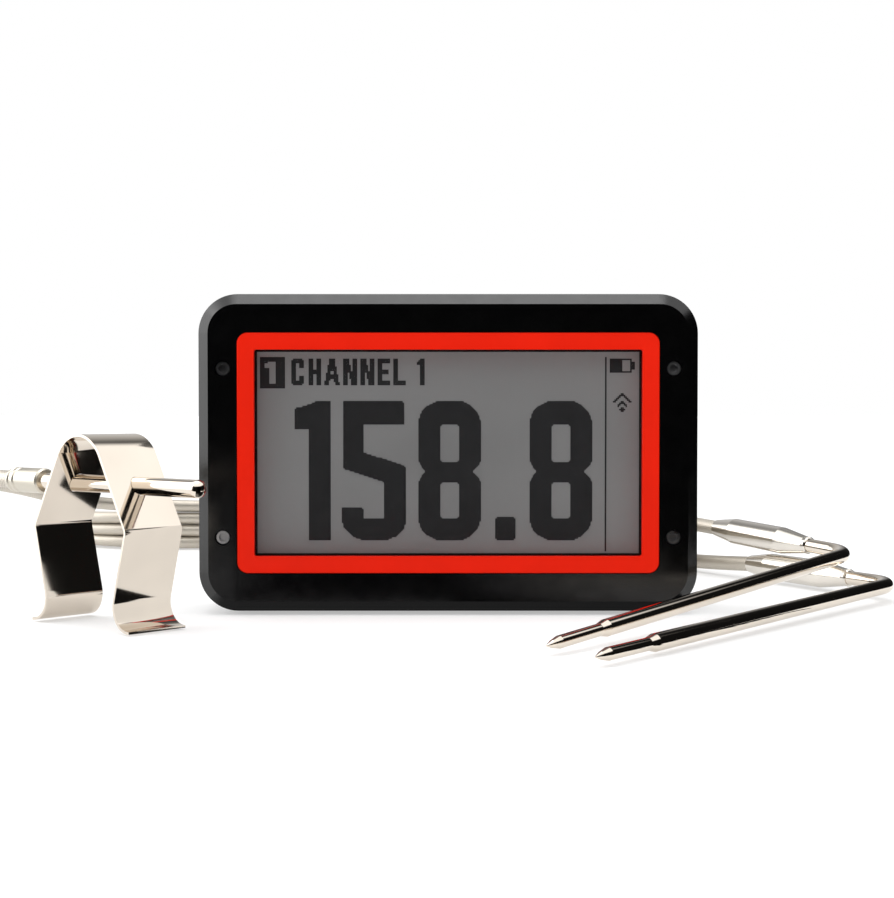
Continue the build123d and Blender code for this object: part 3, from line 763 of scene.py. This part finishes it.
@dataclass
class TiedCable(ProbeCable):
    """A cable wound into a neat round coil of three columns, held by a strap."""

    centre: Flat = (0.0, 0.0)
    entry_angle: float = 90.0
    columns: Sequence[float] = (31.8, 27.2, 22.6)
    turns_per_column: int = 3
    bottom: float = 3.75
    pitch: float = 4.58
    change: float = 0.09
    leaving: Sequence[Point] = ((22.0, 23.0, 19.2),)

    def coil(self) -> list[Point]:
        """The coil's control points, in order along the cable."""
        total = self.turns_per_column * len(self.columns)
        points = [self.around(360 * turn, *self.winding(turn)) for turn in self.stops(total)]
        for angle, radius, height in self.leaving:
            points.append(self.around(360 * total + angle, radius, height))
        return points

    def stops(self, total: int) -> list[float]:
        """Where along the winding the control points stand.

        Args:
            total: How many turns the winding has.

        Returns:
            The places, in turns.
        """
        return [index / self.points_per_turn for index in range(1, total * self.points_per_turn + 1)]

    def winding(self, turn: float) -> Flat:
        """The winding's radius and height at a place in its turns.

        Args:
            turn: How many turns have been wound.

        Returns:
            The radius and the height.
        """
        radius = self.columns[0]
        for index, (outer, inner) in enumerate(zip(self.columns, self.columns[1:]), 1):
            share = (turn - index * self.turns_per_column + self.change) / (2 * self.change)
            radius += (inner - outer) * smooth_step(share)
        column, wound = divmod(turn, self.turns_per_column)
        climbed = wound if int(column) % 2 == 0 else self.turns_per_column - wound
        return radius, self.bottom + self.pitch * climbed

    def around(self, angle: float, radius: float, height: float) -> Point:
        """A point round the coil's middle.

        Args:
            angle: How far past the cable's entry it is, in degrees.
            radius: How far out it is.
            height: How high it is.

        Returns:
            The point.
        """
        turned = math.radians(self.entry_angle + angle)
        x, y = self.centre
        return (x + radius * math.cos(turned), y + radius * math.sin(turned), height)

    def ties(self) -> list[bpy.types.Object]:
        """The straps that hold the coil."""
        return [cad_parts[f"{self.name}_coil_tie"]]


AMBIENT_CABLE = LooseCable(
    name="ambient",
    body=Body.AMBIENT_PROBE,
    exit=(-112.826, -4.435, 33.8),
    lead=[(-129.5, 10.6, 34.0), (-146.0, 32.0, 34.0), (-154.0, 60.0, 32.5), (-154.5, 90.0, 29.5),
          (-147.0, 118.0, 26.0), (-138.0, 143.0, 20.5), (-123.0, 163.0, 17.0), (-105.0, 171.5, 16.1)],
    tail=[(-65.0, 203.0, 2.4), (-67.0, 221.5, 2.8), (-80.0, 235.0, 3.5), (-98.0, 236.5, 3.5)],
    length=1.65,
)
FOOD_A_CABLE = TiedCable(
    name="food_a",
    body=Body.FOOD_PROBE_A,
    exit=(85.311, 82.659, 14.502),
    lead=[(77.5, 97.4, 15.2), (69.5, 114.0, 14.0), (58.5, 129.5, 11.0), (43.0, 140.0, 7.5),
          (24.0, 143.5, 4.6), (3.5, 142.2, 3.2), (-16.0, 139.6, 3.3), (-35.7, 135.8, 3.7)],
    tail=[(-53.4, 122.4, 20.4), (-67.0, 112.0, 22.8), (-74.0, 97.0, 22.0), (-74.5, 80.0, 14.0),
          (-69.0, 65.0, 7.6), (-58.0, 54.0, 3.6), (-43.5, 48.5, 3.6)],
    length=1.78,
    centre=(-38.0, 104.0),
    entry_angle=88.0,
)
FOOD_B_CABLE = TiedCable(
    name="food_b",
    body=Body.FOOD_PROBE_B,
    exit=(93.332, 68.860, 4.525),
    lead=[(84.9, 84.5, 3.4), (77.0, 101.0, 2.6), (64.5, 115.5, 2.7), (46.9, 123.9, 3.7)],
    tail=[(27.8, 116.6, 20.4), (11.0, 111.8, 22.8), (-0.3, 97.5, 22.4), (-2.3, 80.0, 15.0),
          (1.0, 64.0, 8.2), (11.0, 51.5, 3.6), (26.0, 46.5, 3.6)],
    length=1.7,
    centre=(36.0, 94.0),
    entry_angle=70.0,
)


# ----------------------------------------------------------------------------------------------- display


@dataclass(frozen=True)
class Glyph:
    """A sign made of filled outlines, counted in dots from its own top left corner."""

    outlines: Sequence[Sequence[Flat]]
    holes: Sequence[Sequence[Flat]] = ()

    def covers(self, x: float, y: float) -> bool:
        """Tells whether a place is dark.

        Args:
            x: Dots from the sign's left.
            y: Dots from the sign's top.

        Returns:
            True inside an outline and outside every hole.
        """
        return any(inside(shape, x, y) for shape in self.outlines) and not any(
            inside(shape, x, y) for shape in self.holes
        )


def inside(outline: Sequence[Flat], x: float, y: float) -> bool:
    """Tells whether a point is inside a closed outline.

    Args:
        outline: The outline's corners in order.
        x: The point's place across.
        y: The point's place down.

    Returns:
        True if the point is inside.
    """
    crossed = False
    for (ax, ay), (bx, by) in zip(outline, [*outline[1:], outline[0]]):
        if (ay > y) != (by > y) and x < (bx - ax) * (y - ay) / (by - ay) + ax:
            crossed = not crossed
    return crossed


def bar(left: float, top: float, right: float, bottom: float, cut: float = 0.0) -> list[Flat]:
    """An upright bar, with its corners cut off if wanted.

    Args:
        left: Its left edge.
        top: Its top edge.
        right: Its right edge.
        bottom: Its bottom edge.
        cut: How much of each corner is cut off.

    Returns:
        The bar's outline.
    """
    return [
        (left + cut, top), (right - cut, top), (right, top + cut), (right, bottom - cut),
        (right - cut, bottom), (left + cut, bottom), (left, bottom - cut), (left, top + cut),
    ]


BIG_ONE = Glyph([[(1, 4.5), (10, 2), (14, 0), (23, 0), (23, 89), (9, 89), (9, 18), (0, 18), (0, 6)]])
BIG_FIVE = Glyph([
    [(1, 0), (39, 0), (40, 1), (40, 14.5), (39, 15), (14.5, 15), (14.5, 33), (40, 41), (41.5, 43), (41.5, 76),
     (40, 81), (36, 86), (29, 89), (13, 89), (6, 86), (1.5, 81), (0, 76), (0, 69), (1, 68), (13, 68),
     (14, 69), (14, 74), (15, 75), (26.5, 75), (27.5, 74), (27.5, 52), (3, 44), (1, 42), (0.5, 1)]
])
BIG_EIGHT = Glyph(
    [[(12, 0), (28, 0), (34, 3), (38, 7), (40, 13), (40, 38), (38, 42), (35, 45), (38, 48), (40, 52),
      (40, 76), (38, 82), (34, 86), (28, 89), (12, 89), (6, 86), (2, 82), (0, 76), (0, 52), (2, 48),
      (5, 45), (2, 42), (0, 38), (0, 13), (2, 7), (6, 3)]],
    [bar(14, 15, 26, 39, 1.5), bar(14, 52, 26, 75, 1.5)],
)
BIG_POINT = Glyph([bar(0, 0, 13, 15, 1.5)])
LETTER_C = Glyph([bar(0, 0, 8, 17, 1.6)], [bar(3, 3, 5, 14), bar(5, 6, 9, 11)])
LETTER_H = Glyph([bar(0, 0, 3, 17), bar(5, 0, 8, 17), bar(3, 7, 5, 10)])
LETTER_A = Glyph([[(3.4, 0), (6.6, 0), (10, 17), (7, 17), (6.2, 13), (3.8, 13), (3, 17), (0, 17)]],
                 [[(5, 4), (5.8, 10.4), (4.2, 10.4)]])
LETTER_N = Glyph([
    bar(0, 0, 3, 17), bar(6, 0, 9, 17), [(2, 0), (3.4, 0), (7, 13), (7, 17), (5.6, 17), (2, 4)],
])
LETTER_E = Glyph([bar(0, 0, 3, 17), bar(3, 0, 8, 3), bar(3, 7, 7, 10), bar(3, 14, 8, 17)])
LETTER_L = Glyph([bar(0, 0, 3, 17), bar(3, 14, 8, 17)])
SMALL_ONE = Glyph([[(0, 2), (3, 0), (5, 0), (5, 17), (2, 17), (2, 4), (0, 4)]])
BOXED_ONE = Glyph(
    [bar(0, 0, 16, 20)],
    [[(2.6, 4.4), (6, 3), (10.4, 3), (10.4, 17.5), (6.4, 17.5), (6.4, 7), (2.6, 7)]],
)
BATTERY = Glyph([bar(0, 0, 14, 9), bar(14, 2.4, 16, 6.6)], [bar(8, 1.2, 12.8, 7.8)])
WIRELESS = Glyph([
    [(0, 5), (6, 0), (12, 5), (11, 6.2), (6, 2), (1, 6.2)],
    [(2.4, 8), (6, 4.4), (9.6, 8), (8.8, 9.2), (6, 6.6), (3.2, 9.2)],
    [(6, 8.4), (7.8, 10.4), (6, 12.4), (4.2, 10.4)],
])
DIVIDER = Glyph([bar(0, 0, 1, 124)])


def stand_up(shape: bmesh.types.BMesh, middle: Vector, thickness: float) -> None:
    """Stands a flat shape upright behind the window and thickens it towards the front.

    Args:
        shape: The shape, lying flat round the origin, in metres.
        middle: Where its middle goes.
        thickness: How thick it becomes.
    """
    upright = Matrix.Translation(middle) @ Matrix.Rotation(math.pi / 2, 4, "X")
    bmesh.ops.transform(shape, matrix=upright, verts=shape.verts)
    made = bmesh.ops.extrude_face_region(shape, geom=shape.faces[:])
    front = [part for part in made["geom"] if isinstance(part, bmesh.types.BMVert)]
    bmesh.ops.translate(shape, vec=(0.0, -thickness, 0.0), verts=front)


@dataclass
class DotDisplay:
    """The dark dots of the display: the channel's name, the reading and the two status signs."""

    columns: int = 240
    rows: int = 128
    pitch: float = 0.0004
    lift: float = 0.00003
    thickness: float = 0.00004
    signs: Sequence[tuple[Glyph, float, float]] = (
        (BOXED_ONE, 0, 3), (LETTER_C, 20, 4), (LETTER_H, 31, 4), (LETTER_A, 41, 4), (LETTER_N, 53, 4),
        (LETTER_N, 64, 4), (LETTER_E, 75, 4), (LETTER_L, 85, 4), (SMALL_ONE, 100, 4),
        (BIG_ONE, 22, 31), (BIG_FIVE, 52, 31), (BIG_EIGHT, 101, 31), (BIG_POINT, 150, 105),
        (BIG_EIGHT, 172, 31), (DIVIDER, 220, 3), (BATTERY, 223, 4), (WIRELESS, 225, 26),
    )

    def is_dark(self, x: float, y: float) -> bool:
        """Tells whether a dot is dark.

        Args:
            x: The dot's middle, counted in dots from the left.
            y: The dot's middle, counted in dots from the top.

        Returns:
            True if a sign covers it.
        """
        return any(sign.covers(x - left, y - top) for sign, left, top in self.signs)

    def build(self, dressing: Dressing) -> bpy.types.Object:
        """Cuts the dark dots out of a fine grid and gives them a thickness.

        Args:
            dressing: The finishes.

        Returns:
            The dots, as one piece.
        """
        low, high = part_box("lcd_glass")
        middle = Vector(((low[0] + high[0]) / 2, low[1] - self.lift, (low[2] + high[2]) / 2))
        shape = bmesh.new()
        bmesh.ops.create_grid(shape, x_segments=self.columns, y_segments=self.rows, size=0.5)
        light = []
        for face in shape.faces:
            place = face.calc_center_median()
            if not self.is_dark((place.x + 0.5) * self.columns, (0.5 - place.y) * self.rows):
                light.append(face)
        bmesh.ops.delete(shape, geom=light, context="FACES")
        bmesh.ops.dissolve_limit(shape, angle_limit=FLAT_ANGLE, verts=shape.verts, edges=shape.edges)
        size = Vector((self.columns * self.pitch, self.rows * self.pitch, 1.0))
        bmesh.ops.scale(shape, vec=size, verts=shape.verts)
        stand_up(shape, middle, self.thickness)
        bmesh.ops.triangulate(shape, faces=[face for face in shape.faces if len(face.verts) > 4])
        bmesh.ops.recalc_face_normals(shape, faces=shape.faces)
        dots = add_piece("display_dots", shape, Body.DISPLAY_UNIT)
        dressing.dress(dots, DISPLAY_INK)
        return dots


@dataclass
class ShadowGapFrame:
    """A thin dark frame round the back of the clear window: painted shade that stands in for the shadow gap at
    its edge.
    """

    width: float = 0.0005
    thickness: float = 0.00005
    opening: Flat = (0.0984, 0.0524)

    def build(self, dressing: Dressing) -> bpy.types.Object:
        """Makes the frame of painted shade.

        Args:
            dressing: The finishes.

        Returns:
            The painted shade, as one flat frame.
        """
        low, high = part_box("display_window")
        middle = Vector(((low[0] + high[0]) / 2, high[1] + self.thickness, (low[2] + high[2]) / 2))
        reach = (high[0] - low[0] - self.opening[0]) / 2 + self.width
        shape = bmesh.new()
        bmesh.ops.create_grid(shape, x_segments=1, y_segments=1, size=0.5)
        bmesh.ops.scale(shape, vec=(high[0] - low[0], high[2] - low[2], 1.0), verts=shape.verts)
        inner = shape.faces[:]
        bmesh.ops.inset_region(shape, faces=inner, thickness=reach, use_boundary=True, use_even_offset=True)
        bmesh.ops.delete(shape, geom=inner, context="FACES")
        stand_up(shape, middle, self.thickness / 2)
        bmesh.ops.recalc_face_normals(shape, faces=shape.faces)
        # This frame is painted shade: a dark line standing in for the shadow gap round the window.
        shade_frame = add_piece("painted_shadow_gap", shape, Body.DISPLAY_UNIT)
        dressing.dress(shade_frame, SHADOW_GAP_DARK)
        return shade_frame


# ------------------------------------------------------------------------------------------------ studio


@dataclass(frozen=True)
class Glow:
    """One soft edge of light, by the direction that it comes from.

    The axis is 0 for the right, 1 for the back and 2 for above. The edge runs from start to stop along it.
    """

    axis: int
    start: float
    stop: float
    low: float
    high: float


@dataclass
class SoftRoom:
    """The room's light: bright above and to the left, dim behind, and dark in front and to the right."""

    fill: float = 0.3
    overhead: Glow = Glow(2, 0.5, 0.62, 0.0, 1.7)
    overhead_back: Glow = Glow(1, 0.42, 0.6, 1.0, 0.0)
    zenith: Glow = Glow(2, 0.93, 0.985, 0.0, 3.2)
    left: Glow = Glow(0, -0.5, -0.85, 0.0, 3.4)
    left_fall: Glow = Glow(2, -0.2, 0.12, 0.3, 1.0)
    back: Glow = Glow(1, 0.55, 0.95, 0.0, 0.5)
    dark_right: Glow = Glow(0, 0.0, 0.45, 1.0, 0.03)
    dark_front: Glow = Glow(1, -0.35, -0.7, 1.0, 0.03)

    def build(self) -> bpy.types.World:
        """Sets up the world.

        Returns:
            The world, which the camera itself sees as plain white.
        """
        world = bpy.data.worlds.new("studio")
        world.use_nodes = True
        bpy.context.scene.world = world
        self.nodes, self.links = world.node_tree.nodes, world.node_tree.links
        self.nodes.clear()
        self.way = self.nodes.new("ShaderNodeSeparateXYZ")
        self.links.new(self.nodes.new("ShaderNodeTexCoord").outputs["Generated"], self.way.inputs[0])
        left = self.join("MULTIPLY", self.edge(self.left), self.edge(self.left_fall))
        sides = self.join("ADD", self.join("ADD", left, self.edge(self.back)), self.fill)
        for shade in (self.dark_right, self.dark_front):
            sides = self.join("MULTIPLY", sides, self.edge(shade))
        panel = self.join("MULTIPLY", self.edge(self.overhead), self.edge(self.overhead_back))
        above = self.join("ADD", panel, self.edge(self.zenith))
        room = self.nodes.new("ShaderNodeBackground")
        self.links.new(self.join("ADD", sides, above), room.inputs["Strength"])
        white = self.nodes.new("ShaderNodeBackground")
        white.inputs["Color"].default_value = (1.0, 1.0, 1.0, 1.0)
        mix = self.nodes.new("ShaderNodeMixShader")
        self.links.new(self.nodes.new("ShaderNodeLightPath").outputs["Is Camera Ray"], mix.inputs[0])
        self.links.new(room.outputs[0], mix.inputs[1])
        self.links.new(white.outputs[0], mix.inputs[2])
        self.links.new(mix.outputs[0], self.nodes.new("ShaderNodeOutputWorld").inputs["Surface"])
        return world

    def edge(self, glow: Glow) -> Socket:
        """One soft edge of light.

        Args:
            glow: Where the edge lies and what it runs between.

        Returns:
            Its strength in every direction.
        """
        made = self.nodes.new("ShaderNodeMapRange")
        made.interpolation_type = "SMOOTHSTEP"
        self.links.new(self.way.outputs[glow.axis], made.inputs["Value"])
        values = (glow.start, glow.stop, glow.low, glow.high)
        if glow.start > glow.stop:
            values = (glow.stop, glow.start, glow.high, glow.low)
        for key, value in zip(("From Min", "From Max", "To Min", "To Max"), values):
            made.inputs[key].default_value = value
        return made.outputs[0]

    def join(self, operation: str, first: Socket, second: Socket | float) -> Socket:
        """One step of arithmetic on the light.

        Args:
            operation: Blender's name for it.
            first: The first value.
            second: The second value.

        Returns:
            The answer.
        """
        made = self.nodes.new("ShaderNodeMath")
        made.operation = operation
        self.links.new(first, made.inputs[0])
        if isinstance(second, bpy.types.NodeSocket):
            self.links.new(second, made.inputs[1])
        else:
            made.inputs[1].default_value = second
        return made.outputs[0]


@dataclass(frozen=True)
class Patch:
    """A rectangle of the table: its middle, its size and its turn in degrees."""

    middle: Flat
    size: Flat
    turn: float = 0.0

    def covers(self, x: float, y: float) -> bool:
        """Tells whether a place lies on the patch.

        Args:
            x: How far to the right the place is.
            y: How far back the place is.

        Returns:
            True if it lies on the patch.
        """
        way = Matrix.Rotation(-math.radians(self.turn), 2) @ Vector((x - self.middle[0], y - self.middle[1]))
        return abs(way.x) < self.size[0] / 2 and abs(way.y) < self.size[1] / 2


@dataclass
class Studio:
    """The camera, the pale table and the small card that lights the clip, all in the soft room."""

    camera_place: Point = (-0.0003, -0.404, 0.0515)
    camera_drop: float = 1.412
    lens: float = 61.83
    table_middle: Point = (-0.02, 0.11, -0.0004)
    near_reach: float = 0.3
    far_reach: float = 15.0
    rim_share: float = 0.999
    cells: int = 120
    table_base: float = 0.55
    table_glow: float = 0.45
    mirrored: Sequence[Patch] = (
        Patch((-0.158, 0.115), (0.184, 0.47)),
        Patch((0.0, 0.175), (0.132, 0.35)),
        Patch((0.133, 0.165), (0.134, 0.37)),
        Patch((0.0637, -0.0418), (0.15, 0.034), 50.0),
        Patch((-0.036, -0.0275), (0.068, 0.017)),
    )
    card_ends: tuple[Flat, Flat] = ((-0.0563, -0.0325), (-0.059, -0.0505))
    card_height: float = 0.03
    card_glow: Flat = (0.96, 1.04)

    def build_camera(self) -> bpy.types.Object:
        """Sets the camera in front of the unit, a little above its middle.

        Returns:
            The camera.
        """
        data = bpy.data.cameras.new("camera")
        data.lens = self.lens
        data.sensor_width = 36.0
        data.clip_start = 0.01
        data.clip_end = 100.0
        camera = bpy.data.objects.new("camera", data)
        camera.location = self.camera_place
        camera.rotation_euler = (math.radians(90 - self.camera_drop), 0.0, 0.0)
        bpy.context.collection.objects.link(camera)
        bpy.context.scene.camera = camera
        bpy.context.scene.view_settings.view_transform = "Standard"
        return camera

    def build_table(self) -> None:
        """Lays the pale table in two sheets. The metal mirrors only the one that the object stands on."""
        white = self.table_white()
        for name, under in (("table_under", True), ("table_around", False)):
            sheet = self.stage_part(name, self.table_shape(under), white)
            sheet.visible_glossy = under

    def table_shape(self, under: bool) -> bmesh.types.BMesh:
        """The cells of one sheet of the table.

        Args:
            under: True for the sheet under the object, False for the sheet around it.

        Returns:
            The cells, with the outermost ones drawn out to the far edge.
        """
        shape = bmesh.new()
        bmesh.ops.create_grid(shape, x_segments=self.cells, y_segments=self.cells, size=self.near_reach)
        unwanted = []
        for face in shape.faces:
            place = face.calc_center_median() + Vector(self.table_middle)
            if any(patch.covers(place.x, place.y) for patch in self.mirrored) != under:
                unwanted.append(face)
        edge = self.near_reach * self.rim_share
        rim = [vert for vert in shape.verts if max(abs(vert.co.x), abs(vert.co.y)) > edge]
        stretch = self.far_reach / self.near_reach
        bmesh.ops.scale(shape, vec=(stretch, stretch, 1.0), verts=rim)
        bmesh.ops.delete(shape, geom=unwanted, context="FACES")
        bmesh.ops.translate(shape, vec=self.table_middle, verts=shape.verts)
        return shape

    def build_card(self) -> None:
        """Stands a small glowing card beside the clip. Only the polished metal sees it."""
        shape = bmesh.new()
        low = [shape.verts.new((*end, 0.0)) for end in self.card_ends]
        edge = shape.edges.new(low)
        made = bmesh.ops.extrude_edge_only(shape, edges=[edge])
        top = [part for part in made["geom"] if isinstance(part, bmesh.types.BMVert)]
        bmesh.ops.translate(shape, vec=(0.0, 0.0, self.card_height), verts=top)
        box = Paintbox("card glow")
        glow = box.level(box.noise(box.place(), 20.0), *self.card_glow)
        white = (1.0, 1.0, 1.0, 1.0)
        finish = box.done(Base_Color=(0.0, 0.0, 0.0, 1.0), Emission_Color=white, Emission_Strength=glow)
        card = self.stage_part("card", shape, finish)
        card.visible_camera = card.visible_diffuse = card.visible_shadow = False

    def stage_part(self, name: str, shape: bmesh.types.BMesh, finish: bpy.types.Material) -> bpy.types.Object:
        """Turns a finished bmesh into a part of the studio.

        Args:
            name: The part's name.
            shape: The bmesh, in place and in metres. It is used up.
            finish: Its material.

        Returns:
            The part, marked as no part of the object.
        """
        mesh = bpy.data.meshes.new(name)
        shape.to_mesh(mesh)
        shape.free()
        mesh.materials.append(finish)
        part = bpy.data.objects.new(name, mesh)
        bpy.context.collection.objects.link(part)
        return part

    def table_white(self) -> bpy.types.Material:
        """The table's matt white."""
        box = Paintbox("table white")
        haze = box.noise(box.place(), 3.0)
        tone = (self.table_base,) * 3
        return box.done(
            Base_Color=box.shade(haze, toned(tone, 0.99), tone),
            Roughness=0.9,
            Specular_IOR_Level=0.0,
            Emission_Color=(1.0, 1.0, 1.0, 1.0),
            Emission_Strength=self.table_glow,
        )


def write_sizes() -> None:
    """Keeps neither the CAD model's box nor the visual model's box; it does nothing."""
    log.info("sizes written")


def main() -> None:
    """Builds the scene: camera and cables first, then the display, the finishes and the studio."""
    studio = Studio()
    studio.build_camera()
    dressing = Dressing()
    for cable in (AMBIENT_CABLE, FOOD_A_CABLE, FOOD_B_CABLE):
        cable.build(dressing)
    DotDisplay().build(dressing)
    # The dark frame of painted shade where the window meets the red surround.
    ShadowGapFrame().build(dressing)
    dressing.dress_nodes()
    studio.build_table()
    studio.build_card()
    SoftRoom().build()
    write_sizes()


if __name__ == "__main__":
    main()
